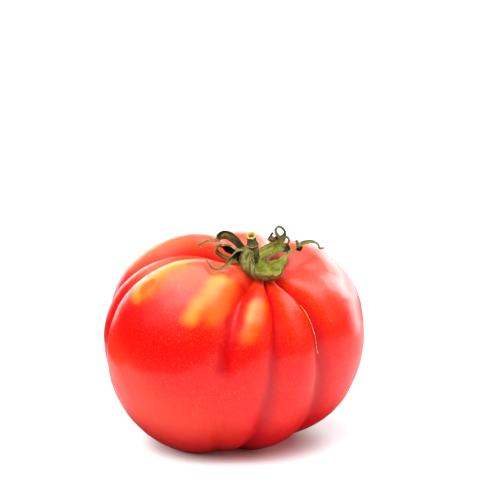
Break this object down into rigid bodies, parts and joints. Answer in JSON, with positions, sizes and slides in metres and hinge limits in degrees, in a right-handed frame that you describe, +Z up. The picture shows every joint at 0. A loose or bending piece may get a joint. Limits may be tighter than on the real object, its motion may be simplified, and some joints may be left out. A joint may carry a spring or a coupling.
{
  "type": "tomato",
  "caption": "Whole ribbed beefsteak tomato, lobed and flattened, with its cut stalk and dried curled sepals at the crown, resting on a small flat spot.",
  "frame": {"origin": "under the middle of the whole tomato, on the surface that it rests on", "axes": "+X to the tomato's right across its widest side, -Y to its front, +Z up"},
  "size_m": [0.0984, 0.0806, 0.0867],
  "materials": {
    "skin": "glossy waxy red skin with fine golden specks and yellow-orange patches",
    "stalk": "dull ridged olive green, tan where it was cut",
    "sepal": "dull dried leaf, olive green with tan edges"
  },
  "bodies": {
    "root": {"fruit": "skin", "stem": "stalk", "sepal_back_left": "sepal", "sepal_left": "sepal", "sepal_front_left": "sepal", "sepal_front": "sepal", "sepal_right": "sepal", "sepal_back_right": "sepal"}
  },
  "joints": []
}
